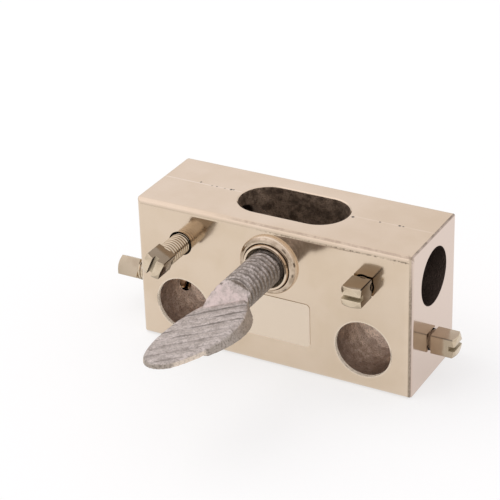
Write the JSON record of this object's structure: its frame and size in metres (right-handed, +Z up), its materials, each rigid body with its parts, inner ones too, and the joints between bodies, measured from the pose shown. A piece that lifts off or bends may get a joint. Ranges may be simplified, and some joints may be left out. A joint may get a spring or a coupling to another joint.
{
  "type": "multi-rod connector",
  "caption": "Cast block that clamps round laboratory rods running along, across and up through it, with a winged thumb screw and square-headed set screws.",
  "frame": {"origin": "on the axis of the long bore, half way along the block and at its mid-depth", "axes": "+X along the long bore, towards the end with the screw that is screwed home; +Y from front to back, so the thumb screw and the front screws point along -Y; +Z up along the slot"},
  "size_m": [0.0842, 0.0689, 0.034],
  "materials": {
    "block": "bright nickel plating, lightly polished, over a zinc casting",
    "thumb_screw": "dull nickel plating over a rough casting",
    "set_screw": "bright nickel plating over turned steel"
  },
  "bodies": {
    "block": {"block": "block"},
    "thumb_screw": {"thumb_screw": "thumb_screw"},
    "set_screw_front_left": {"set_screw_front_left": "set_screw"},
    "set_screw_front_right": {"set_screw_front_right": "set_screw"},
    "set_screw_left_end": {"set_screw_left_end": "set_screw"},
    "set_screw_right_end": {"set_screw_right_end": "set_screw"}
  },
  "joints": [
    {"name": "thumb_screw_travel", "type": "slide", "parent": "block", "child": "thumb_screw", "axis": [0, -1, 0], "range_m": [-0.0128, 0.006]},
    {"name": "front_left_travel", "type": "slide", "parent": "block", "child": "set_screw_front_left", "axis": [0, -1, 0], "range_m": [-0.0066, 0.004]},
    {"name": "front_right_travel", "type": "slide", "parent": "block", "child": "set_screw_front_right", "axis": [0, -1, 0], "range_m": [-0.0004, 0.004]},
    {"name": "left_end_travel", "type": "slide", "parent": "block", "child": "set_screw_left_end", "axis": [-1, 0, 0], "range_m": [-0.0066, 0.0034]},
    {"name": "right_end_travel", "type": "slide", "parent": "block", "child": "set_screw_right_end", "axis": [1, 0, 0], "range_m": [-0.0004, 0.0034]}
  ]
}
